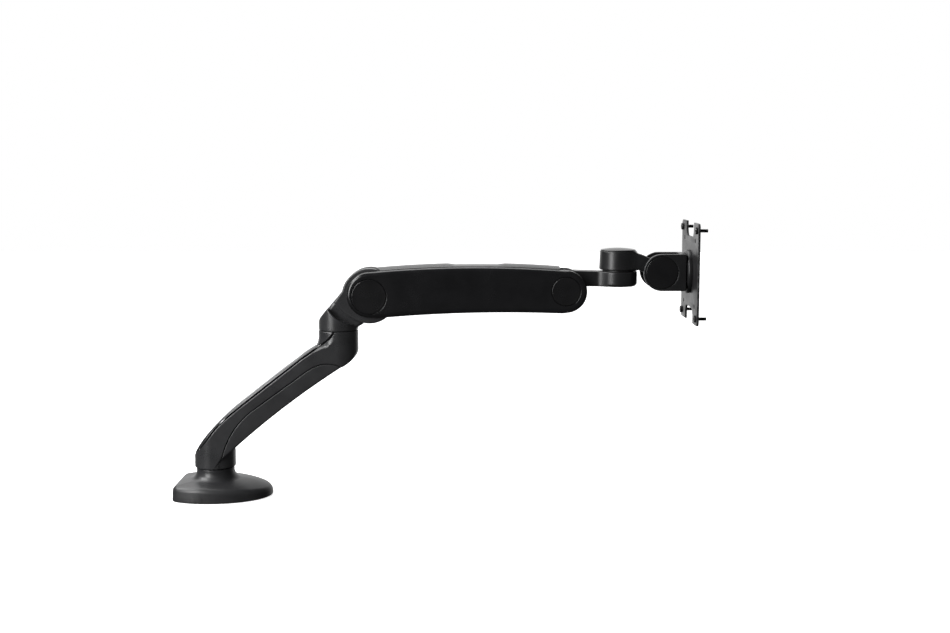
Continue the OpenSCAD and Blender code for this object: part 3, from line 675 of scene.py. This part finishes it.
ELBOW_R, ELBOW_LOW, SPIGOT_R = 23.0, 198.3, 12.0
HEAD_R, HEAD_HALF, NECK_HALF = 32.0, 17.0, 11.5
LINK_SLOT_HALF, ROD_SLOT_HALF = 5.4, 9.2     # rooms for the levelling link and the spring's rod
REAR_PIN_BORE, KEY_WELL_R, KEY_WELL_TOP = 7.05, 6.6, 211.5
SPIGOT_BORE, SPIGOT_BORE_TOP = 3.4, 182
SADDLE = curve((137.2, 225), (148.5, 207), (172, 204.6), n=12)
HEAD_EDGE = curve((144.9, 231.8), (154.5, 216.5), (173, 209.2), n=10)


def make_elbow():
    """A collar on a spigot, a neck, and the disc that the spring arm turns on."""
    grid = Grid((122, -24, 164), (220, 24, 273), FINE)
    collar_side = grid.side([(172, 190), (120, 190), (120, 202), (124.6, 208.6), (127.6, 213.4)] + SADDLE)
    collar = meet(grid.post(elbow_x, ELBOW_R), collar_side, r=1.3)
    collar = meet(collar, ELBOW_LOW - grid.z, r=0.8)
    spigot = meet(grid.post(elbow_x, SPIGOT_R), grid.within_z(166, 204), r=0.5)
    neck_side = grid.side([(134, 217), (139.6, 227.6), (151, 241), (180, 232),
                           (178, 206), (165, 198), (140, 198)])
    neck = meet(neck_side, grid.within_y(NECK_HALF), r=4)
    wedge = grid.side([(156.4, 248.4)] + HEAD_EDGE + [(rear.x, rear.z)])
    disc = np.minimum(grid.bar_y(rear, HEAD_R), wedge)
    head = meet(disc, grid.within_y(HEAD_HALF), r=1.8)
    solid = join(join(collar, spigot), neck, r=1.2)
    solid = join(solid, head, r=0.8)
    link_side = grid.side([(172, 244), (196, 214), (240, 180), (240, 300), (172, 300)])
    solid = cut(solid, np.maximum(link_side, grid.within_y(LINK_SLOT_HALF)), r=0.5)
    rod_side = grid.side([(174, 216), (192, 216), (230, 182), (230, 246), (174, 246)])
    solid = cut(solid, np.maximum(rod_side, grid.within_y(ROD_SLOT_HALF)), r=0.5)
    solid = cut(solid, grid.bar_y(rear, REAR_PIN_BORE))
    solid = cut(solid, np.maximum(grid.post(rear.x, KEY_WELL_R), grid.z - KEY_WELL_TOP), r=0.4)
    solid = cut(solid, np.maximum(grid.post(elbow_x, SPIGOT_BORE), grid.z - SPIGOT_BORE_TOP))
    place_piece(casting("elbow_casting_skin", grid, solid), "elbow_casting")


# ----------------------------------------------------------------- spring arm

ARM_HALF = 25.0
REAR_ROUND, REAR_ROUND_R = (186.2, 240.8), 26.6
FRONT_ROUND, FRONT_ROUND_R = (413.2, 244.5), 24.7
CROWN_Z, CROWN_X, CROWN_R = 273.3, (rear.x + front.x) / 2 + 9.5, 1300.0
BELLY_Z, BELLY_X, BELLY_R = 220.4, 345.0, 1668.0
REAR_CAP_R, FRONT_CAP_R, CAP_SEAT = 19.9, 16.4, 1.6
LID_START, LID_END, LID_HALF, LID_T, LID_LIP = 192.5, 407.0, 18.0, 3.0, 0.3
NOTCH_START, NOTCH_END = 277.5, 342.0
FLANK_R, BELLY_MORE = 4.5, 1.5          # rounding of the long edges, and what the low ones add
BELLY_EDGE_Z, BELLY_EDGE_RUN = 232, 12
CHANNEL_START, CHANNEL_END, CHANNEL_DEEP = 196, 392, 5
DISC_GAP, CAP_GAP = 0.5, 0.4
TONGUE_ROOM_R, TONGUE_ROOM_HALF = 24.2, 15.1
TRAY_DEEP, TRAY_FLOOR, TRAY_WALL, TRAY_OPEN = 4, 2, 1.8, 4
CAP_TURNS = 96


def crown(x):
    """Height of the arm's top, under the lid."""
    return CROWN_Z - (x - CROWN_X) ** 2 / (2 * CROWN_R)


def belly(x):
    """Height of the arm's underside."""
    return BELLY_Z - (x - BELLY_X) ** 2 / (2 * BELLY_R)


def arm_outline():
    """The arm's side view: two round ends, a crowned back and a bowed belly."""
    start, end = REAR_ROUND[0], FRONT_ROUND[0]
    back = [(x, crown(x) - 0.2) for x in np.linspace(start + 4, end - 4, 24)]
    under = [(x, belly(x)) for x in np.linspace(end - 4, start + 8, 24)]
    nose = arc(FRONT_ROUND, FRONT_ROUND_R, 84, -86, n=28)
    heel = arc(REAR_ROUND, REAR_ROUND_R, 272, 96, n=32)
    return back + nose + under + heel


def elbow_room(grid):
    """Where the elbow's disc and neck turn inside the shell's rear end."""
    below = grid.side([(140, 200), (215, 200), (215, 250), (186, 285), (140, 285)])
    return np.minimum(grid.bar_y(rear, HEAD_R + DISC_GAP), below)


def knuckle_room(grid):
    """Where the knuckle's tongue turns inside the shell's front end."""
    ahead = grid.side([(388, 190), (450, 190), (450, 290), (408, 290), (403.5, 264.5), (388, 264.5)])
    return np.minimum(grid.bar_y(front, TONGUE_ROOM_R), ahead)


def make_shell():
    """The spring arm's outer shell, open for the spring, both pivots and the caps' seats."""
    grid = Grid((157, -27, 210), (440, 27, 276), MEDIUM)
    low_edge = np.clip((BELLY_EDGE_Z - grid.z) / BELLY_EDGE_RUN, 0, 1)
    edge_r = FLANK_R + smooth_step(low_edge, BELLY_MORE)
    shell = meet(grid.side(arm_outline()), grid.within_y(ARM_HALF), r=edge_r)
    channel_floor = [(x, crown(x) - CHANNEL_DEEP) for x in np.linspace(CHANNEL_START, CHANNEL_END, 12)]
    channel = grid.side(channel_floor + [(CHANNEL_END, 190), (CHANNEL_START, 190)])
    shell = cut(shell, np.maximum(channel, grid.within_y(LID_HALF)))
    shell = cut(shell, np.maximum(elbow_room(grid), grid.within_y(HEAD_HALF + 0.6)), r=0.8)
    shell = cut(shell, np.maximum(knuckle_room(grid), grid.within_y(TONGUE_ROOM_HALF)), r=0.8)
    seats = np.minimum(
        grid.bar_y(rear, REAR_CAP_R + CAP_GAP), grid.bar_y(front, FRONT_CAP_R + CAP_GAP))
    shell = cut(shell, np.maximum(seats, ARM_HALF - CAP_SEAT - np.abs(grid.y)), r=0.2)
    place_piece(casting("spring_arm_skin", grid, shell), "spring_arm_shell")


def cap_pair(name, profile, centre, half):
    """The same turned cap on both sides of the arm, half away from its middle plane."""
    caps = []
    for way in (-1, 1):
        place = facing((0, way, 0), (centre.x, way * half, centre.z))
        caps.append(lathe(f"{name}_{way + 1}", profile, place, CAP_TURNS))
    return caps


def make_pivot_caps(node, centre, radius):
    """Shallow caps over a pivot of the spring arm."""
    outline = [(0, -1.5), (radius, -1.5), (radius, 0.4), (radius - 2.4, 0.2), (0, 0.2)]
    caps = cap_pair(node, round_corners(outline, radius=0.9), centre, ARM_HALF)
    place_piece(merge(node + "_skin", caps), node)


def make_lid():
    """A thin lid whose top is crowned across the arm, with a finger notch in the middle."""
    grid = Grid((186, -20, 264), (411, 20, 279), FINE)
    sides = np.clip(np.abs(grid.y) / LID_HALF, 0, 1) ** 2
    roof = grid.z - (crown(grid.x) + LID_T - (LID_T - LID_LIP) * sides)
    lid = np.maximum(roof, np.maximum(crown(grid.x) - 0.15 - grid.z, grid.within_y(LID_HALF)))
    ends = grid.side([(LID_START, 260), (LID_START, 269.6), (LID_START + 3, 290),
                      (LID_END - 3, 290), (LID_END, 271), (LID_END, 260)])
    lid = cut(meet(lid, ends, r=0.8), grid.bar_y(rear, HEAD_R + DISC_GAP), r=0.4)
    top, bed = CROWN_Z + LID_T, CROWN_Z + 1
    notch = grid.side([(NOTCH_START - 3, 290), (NOTCH_START, top), (NOTCH_START + 7, bed),
                       (NOTCH_END - 7, bed), (NOTCH_END, top), (NOTCH_END + 3, 290)])
    lid = cut(lid, notch, r=1.5)
    place_piece(casting("top_cover_skin", grid, lid), "spring_arm_top_cover")


def make_bottom_cover():
    """A shallow tray that follows the belly."""
    low, high = node_box("spring_arm_bottom_cover")
    grid = Grid((low.x - 2, low.y - 2, low.z - 2), (high.x + 2, high.y + 2, high.z + 2), FINE)
    under = [(x, belly(x) - 0.2) for x in np.linspace(low.x, high.x, 16)]
    top = [(x, belly(x) + TRAY_DEEP) for x in np.linspace(high.x, low.x, 16)]
    tray = meet(grid.side(under + top), grid.within_y(high.y), r=0.9)
    inside = [(x, z + TRAY_FLOOR) for x, z in under[1:-1]] + [(x, z + TRAY_OPEN) for x, z in top[1:-1]]
    tray = cut(tray, np.maximum(grid.side(inside), grid.within_y(high.y - TRAY_WALL)))
    place_piece(casting("bottom_cover_skin", grid, tray), "spring_arm_bottom_cover")


def make_spring_arm():
    """Shell, lid, bottom cover and the caps over both pivots."""
    make_shell()
    make_lid()
    make_bottom_cover()
    make_pivot_caps("rear_pivot_caps", rear, REAR_CAP_R)
    make_pivot_caps("front_pivot_caps", front, FRONT_CAP_R)


# -------------------------------------------------------------------- knuckle

KNUCKLE_LOW, KNUCKLE_TOP = 249.8, 267.0
DRUM_R, BAR_HALF, CORNER_R = 22.2, 10.5, 6.0
TONGUE_R, TONGUE_SIDE = 22.5, 14.5
DRUM_CHAMFER = 1.6
CORNER_START, CORNER_END = 440, 462      # where the bar's sides are filleted into the drum
FRONT_PIN_BORE, POST_BORE, POST_FLOOR = 6.05, 8.1, 252
SCREW_BORE, SCREW_SEAT = 9.6, 253.2


def make_knuckle():
    """A tongue between the spring arm's walls, a bar, and the drum under the head."""
    grid = Grid((388, -24, 219), (500, 24, 271), FINE)
    tongue = meet(grid.bar_y(front, TONGUE_R), grid.within_y(TONGUE_SIDE), r=1.5)
    bar_side = grid.side([(413, KNUCKLE_LOW), (413, 267.5), (426, 268), (460, KNUCKLE_TOP),
                          (470, KNUCKLE_TOP), (470, KNUCKLE_LOW)])
    bar = meet(bar_side, grid.within_y(BAR_HALF), r=1.0)
    round_wall = grid.post(head_x, DRUM_R)
    drum = meet(round_wall, grid.within_z(KNUCKLE_LOW, KNUCKLE_TOP), r=1.2)
    drum = meet(drum, (round_wall + KNUCKLE_LOW - grid.z) * math.sqrt(0.5) + DRUM_CHAMFER, r=0.5)
    bar_wall = np.maximum(np.abs(grid.y) - BAR_HALF, CORNER_START - grid.x)
    corner = meet(join(round_wall, bar_wall, r=CORNER_R), grid.within_z(KNUCKLE_LOW, KNUCKLE_TOP), r=1.0)
    corner = np.maximum(corner, grid.x - CORNER_END)
    solid = np.minimum(np.minimum(tongue, bar), np.minimum(drum, corner))
    link_side = grid.side([(380, 200), (402, 200), (405, 242), (424, 250), (424, 280), (380, 280)])
    solid = cut(solid, np.maximum(link_side, grid.within_y(LINK_SLOT_HALF)), r=0.5)
    solid = cut(solid, grid.bar_y(front, FRONT_PIN_BORE))
    solid = cut(solid, np.maximum(grid.post(head_x, SCREW_BORE), grid.z - SCREW_SEAT), r=0.4)
    solid = cut(solid, np.maximum(grid.post(head_x, POST_BORE), POST_FLOOR - grid.z))
    place_piece(casting("knuckle_skin", grid, solid), "knuckle_casting")


# ----------------------------------------------------------------------- head

HUB_R, HUB_HALF = 15.8, 13.4
HEAD_R_FOOT, HEAD_DRAFT = 21.9, 0.045
HEAD_LOW, HEAD_TOP = 269.0, 291.0
CAP_RIM, CAP_RISE, CAP_STEM = 20.3, 1.8, 13.8
CAP_WELL, CAP_WELL_FLOOR, HEAD_BORE = 14, 282.6, 10.25
TILT_BORE = 5.1
WEB_TOP = curve((513, 281.6), (503, 287.4), (489, 289.6), n=6) + [(478, 290)]
WEB_FOOT = [(478, 269), (497, 269)] + curve((497, 269), (508, 267), (512, 255), n=6)


def make_head():
    """A drum that swivels on the knuckle, with a web to the tilting hub."""
    grid = Grid((451, -24, 248), (543, 24, 294), FINE)
    wall = grid.post(head_x, HEAD_R_FOOT) + HEAD_DRAFT * (grid.z - HEAD_LOW)
    drum = meet(wall, grid.within_z(HEAD_LOW, HEAD_TOP), r=1.2)
    web_side = grid.side(WEB_FOOT + [(524, 252), (524, 282)] + WEB_TOP)
    web = meet(web_side, grid.within_y(HUB_HALF), r=3.0)
    hub = meet(grid.bar_y(tilt, HUB_R), grid.within_y(HUB_HALF), r=1.2)
    solid = join(join(drum, web, r=4.0), hub, r=2.0)
    solid = cut(solid, np.maximum(grid.post(head_x, CAP_WELL), CAP_WELL_FLOOR - grid.z), r=0.4)
    solid = cut(solid, grid.post(head_x, HEAD_BORE))
    solid = cut(solid, grid.bar_y(tilt, TILT_BORE))
    place_piece(casting("swivel_head_skin", grid, solid), "swivel_head")
    make_head_cap()


def make_head_cap():
    """A low domed cap on a stem that sinks into the head."""
    foot = node_box("head_cap")[0].z
    seat = HEAD_TOP + 0.2
    edge = CAP_RIM - 0.7
    dome = [(r, HEAD_TOP + 1.2 + CAP_RISE * (1 - (r / edge) ** 2)) for r in np.linspace(edge, 0, 9)]
    stem = [(0, foot), (CAP_STEM, foot), (CAP_STEM, seat), (CAP_RIM, seat)]
    cap = round_corners(stem + [(CAP_RIM, HEAD_TOP + 0.6)] + dome, radius=0.4)
    place = facing((0, 0, 1), (head_x, 0, 0))
    place_piece(lathe("head_cap_skin", cap, place, CAP_TURNS), "head_cap")


CHEEK_R, CHEEK_CAP_R = 21.3, 18.4
FORK_DEPTH_X, FORK_HALF = 546, 15.2
RECESS_R, RECESS_DEEP = 18.9, 0.7
WASHER_WELL_R, WASHER_SEAT = 9.2, 17.6


def make_bracket():
    """A fork round the hub, with a cap on each cheek."""
    grid = Grid((500, -24, 243), (555, 24, 291), FINE)
    low, high = node_box("tilt_bracket")
    cheek = arc((tilt.x, tilt.z), CHEEK_R, 90, 270, n=40)
    profile = cheek + [(high.x, tilt.z - CHEEK_R), (high.x, tilt.z + CHEEK_R)]
    block = meet(grid.side(profile), grid.within_y(high.y), r=1.1)
    fork_side = grid.side([(480, 230), (FORK_DEPTH_X, 230), (FORK_DEPTH_X, 300), (480, 300)])
    solid = cut(block, np.maximum(fork_side, grid.within_y(FORK_HALF)), r=0.7)
    recess = np.maximum(grid.bar_y(tilt, RECESS_R), high.y - RECESS_DEEP - np.abs(grid.y))
    solid = cut(solid, recess, r=0.5)
    solid = cut(solid, np.maximum(grid.bar_y(tilt, WASHER_WELL_R), WASHER_SEAT - np.abs(grid.y)))
    solid = cut(solid, grid.bar_y(tilt, TILT_BORE))
    place_piece(casting("tilt_bracket_skin", grid, solid), "tilt_bracket")
    outline = [(0, -0.6), (CHEEK_CAP_R, -0.6), (CHEEK_CAP_R, 0.3), (CHEEK_CAP_R - 1.4, 0.5), (0, 0.5)]
    caps = cap_pair("tilt_cap", round_corners(outline, radius=0.4), tilt, high.y)
    place_piece(merge("tilt_caps_skin", caps), "tilt_caps")


# -------------------------------------------------------------- monitor plate

PLATE_SIDE, PLATE_CORNER = 116.0, 5.0
HOLE_PITCH, SMALL_PITCH = 100.0, 75.0
NOTCH_W, NOTCH_DEPTH, NOTCH_R = 52.0, 17.0, 10.0
HOLE_R, CENTRE_R, RING_R, RING_HOLE_R = 2.5, 4.1, 19, 1.7
PLATE_BEVEL = 0.35
THREAD_PITCH, THREAD_DEEP = 0.8, 0.28


def plate_outline():
    """A square with round corners and a round-cornered notch in its top and bottom sides."""
    half, r, w, d = PLATE_SIDE / 2, PLATE_CORNER, NOTCH_W / 2, NOTCH_DEPTH
    quarter = [(half, 0)] + arc((half - r, half - r), r, 0, 90, n=8)
    notch = [(w, half)] + arc((w - NOTCH_R, half - d + NOTCH_R), NOTCH_R, 0, -90, n=8)
    upper_right = quarter + notch
    upper_left = [(-u, v) for u, v in reversed(upper_right)]
    upper = upper_right + upper_left
    return upper + [(-u, -v) for u, v in upper[1:-1]]


def hole(u, v, r, n=24):
    """A round hole's outline."""
    turns = [2 * math.pi * i / n for i in range(n)]
    return [(u + r * math.cos(a), v + r * math.sin(a)) for a in turns]


def plate_holes():
    """Both square hole patterns, the middle hole and the four holes round it."""
    signs = [(u, v) for u in (-1, 1) for v in (-1, 1)]
    holes = [hole(u * p / 2, v * p / 2, HOLE_R) for p in (HOLE_PITCH, SMALL_PITCH) for u, v in signs]
    holes.append(hole(0, 0, CENTRE_R, n=32))
    for k in range(4):
        a = math.pi / 4 + k * math.pi / 2
        holes.append(hole(RING_R * math.cos(a), RING_R * math.sin(a), RING_HOLE_R, n=20))
    return holes


def make_roll_disc():
    """The turned disc behind the plate."""
    low, high = node_box("roll_disc")
    radius = high.y
    t = high.x - low.x
    rim = [(radius - 2.2, 0), (radius - 0.4, 1.2), (radius, 2.4), (radius, t)]
    profile = round_corners([(CENTRE_R, 0)] + rim + [(CENTRE_R, t), (CENTRE_R, 0)], radius=0.6)
    place = facing((1, 0, 0), (low.x, 0, tilt.z))
    place_piece(lathe("roll_disc_skin", profile, place, turns=128), "roll_disc")


def screw(name, place, shank_r, shank, head_r, head, key_r):
    """A cap screw along local Z with its head's seat at z = 0."""
    body = [(0, -shank), (shank_r - 0.4, -shank), (shank_r, -shank + 0.5)]
    for i in range(1, int(shank / THREAD_PITCH)):
        z = -shank + THREAD_PITCH * i
        body += [(shank_r, z), (shank_r - THREAD_DEEP, z + 0.4)]
    body += [(shank_r, 0), (head_r, 0), (head_r, head - 0.5), (head_r - 0.5, head), (key_r + 0.5, head),
             (key_r, head - 0.35), (key_r, head * 0.45), (0, head * 0.35)]
    return lathe(name, body, place, turns=48, hexagon=key_r + 0.01)


def make_plate():
    """The drilled plate that the monitor hangs on, its disc and its four screws."""
    low, high = node_box("monitor_plate")
    upright = Matrix(((0, 0, 1, 0), (1, 0, 0, 0), (0, 1, 0, 0), (0, 0, 0, 1)))
    centre = Vector(((low.x + high.x) / 2, 0, tilt.z))
    place = Matrix.Translation(centre * MM) @ upright
    loops = [plate_outline()] + plate_holes()
    plate = sheet_plate("monitor_plate_skin", loops, high.x - low.x, PLATE_BEVEL, place)
    place_piece(plate, "monitor_plate")
    make_roll_disc()
    screws = []
    for k in range(4):
        y = (-1) ** k * HOLE_PITCH / 2
        z = (-1) ** (k // 2) * HOLE_PITCH / 2 + tilt.z
        seat = facing((-1, 0, 0), (low.x, y, z))
        screws.append(screw(
            f"monitor_screw_{k}", seat, shank_r=2.0, shank=12, head_r=4.0, head=2.4, key_r=1.5))
    place_piece(merge("monitor_screws_skin", screws), "monitor_screws")


def dress_cad_nodes():
    """Gives the CAD nodes that still show their materials and soft shading."""
    for node, obj in frame["nodes"].items():
        if not obj.hide_render:
            paint(obj, slot_of[node])
            soften(obj, angle=30)


make_base_cover()
make_lower_arm()
make_elbow()
make_spring_arm()
make_knuckle()
make_head()
make_bracket()
make_plate()
dress_cad_nodes()

# --------------------------------------------------------------------- studio

CAMERA_AT = Vector((0.3082, -1.536, 0.400))
CAMERA_DOWN = 6.927            # degrees below level
FLOOR_GLOW = 0.85
FLOOR_LEVEL = -0.0002          # just under the pads, metres
ROOM_GLOW = 0.06
ARM_MIDDLE = (0.26, 0, 0.2)
BASE_SIDE = (0.07, 0, 0.14)

camera = bpy.data.objects.new("camera", bpy.data.cameras.new("camera"))
camera.data.lens = 50
camera.data.sensor_width = 36
camera.location = CAMERA_AT
camera.rotation_euler = (math.radians(90 - CAMERA_DOWN), 0, 0)
bpy.context.scene.collection.objects.link(camera)
bpy.context.scene.camera = camera


def area_light(name, at, target, size, power, glossy=True):
    """A soft rectangular lamp that points at a target. Unless glossy, it leaves no highlights."""
    data = bpy.data.lights.new(name, "AREA")
    data.shape = "RECTANGLE"
    data.size, data.size_y = size
    data.energy = power
    lamp = bpy.data.objects.new(name, data)
    lamp.location = at
    lamp.visible_glossy = glossy
    lamp.rotation_euler = (Vector(target) - Vector(at)).to_track_quat("-Z", "Y").to_euler()
    bpy.context.scene.collection.objects.link(lamp)


def make_floor():
    """A pale floor that adds no reflection and no bounced light to the arm."""
    bm = bmesh.new()
    bmesh.ops.create_grid(bm, x_segments=24, y_segments=24, size=4)
    for v in bm.verts:
        v.co.z = FLOOR_LEVEL
    mesh = bpy.data.meshes.new("floor")
    bm.to_mesh(mesh)
    bm.free()
    floor = new_object("floor", mesh)
    material = bpy.data.materials.new("floor")
    material.use_nodes = True
    shader = material.node_tree.nodes["Principled BSDF"]
    shader.inputs["Base Color"].default_value = (0.9, 0.9, 0.9, 1)
    shader.inputs["Roughness"].default_value = 0.8
    shader.inputs["Emission Color"].default_value = (1, 1, 1, 1)
    shader.inputs["Emission Strength"].default_value = FLOOR_GLOW
    floor.data.materials.append(material)
    floor.visible_glossy = False
    floor.visible_diffuse = False


def make_world():
    """A white backdrop behind the arm in an otherwise dim room, where the camera sees only white."""
    world = bpy.data.worlds.new("studio")
    world.use_nodes = True
    tree = world.node_tree
    background = tree.nodes["Background"]
    place = tree.nodes.new("ShaderNodeTexCoord")
    split = tree.nodes.new("ShaderNodeSeparateXYZ")
    tree.links.new(place.outputs["Generated"], split.inputs["Vector"])
    behind = ramp(tree, split.outputs["Y"], 0.60, 0.85)
    above = ramp(tree, split.outputs["Z"], -0.5, -0.3)
    backdrop = math_node(tree, "MULTIPLY", behind, above)
    backdrop = math_node(tree, "MAXIMUM", backdrop, ROOM_GLOW)
    rays = tree.nodes.new("ShaderNodeLightPath")
    seen = tree.nodes.new("ShaderNodeMix")
    seen.data_type = "FLOAT"
    tree.links.new(rays.outputs["Is Camera Ray"], seen.inputs["Factor"])
    tree.links.new(backdrop, seen.inputs["A"])
    seen.inputs["B"].default_value = 1.0
    tree.links.new(seen.outputs["Result"], background.inputs["Strength"])
    background.inputs["Color"].default_value = (1, 1, 1, 1)
    bpy.context.scene.world = world


def overhead_light(strength, softness, tilt_back, lean):
    """A wide soft light from above. All its angles are in degrees."""
    data = bpy.data.lights.new("overhead", "SUN")
    data.energy = strength
    data.angle = math.radians(softness)
    lamp = bpy.data.objects.new("overhead", data)
    lamp.rotation_euler = (math.radians(-tilt_back), math.radians(-lean), 0)
    bpy.context.scene.collection.objects.link(lamp)


make_floor()
make_world()
area_light("key", (-1.15, -1.45, 0.75), ARM_MIDDLE, size=(0.75, 1.5), power=42)
area_light("top", (-1.09, -0.2, 1.4), BASE_SIDE, size=(0.8, 0.8), power=24)
area_light("fill", (1.6, -1.3, 0.5), ARM_MIDDLE, size=(0.5, 1.0), power=4, glossy=False)
overhead_light(strength=1.6, softness=50, tilt_back=25, lean=15)
bpy.context.scene.view_settings.view_transform = "Standard"
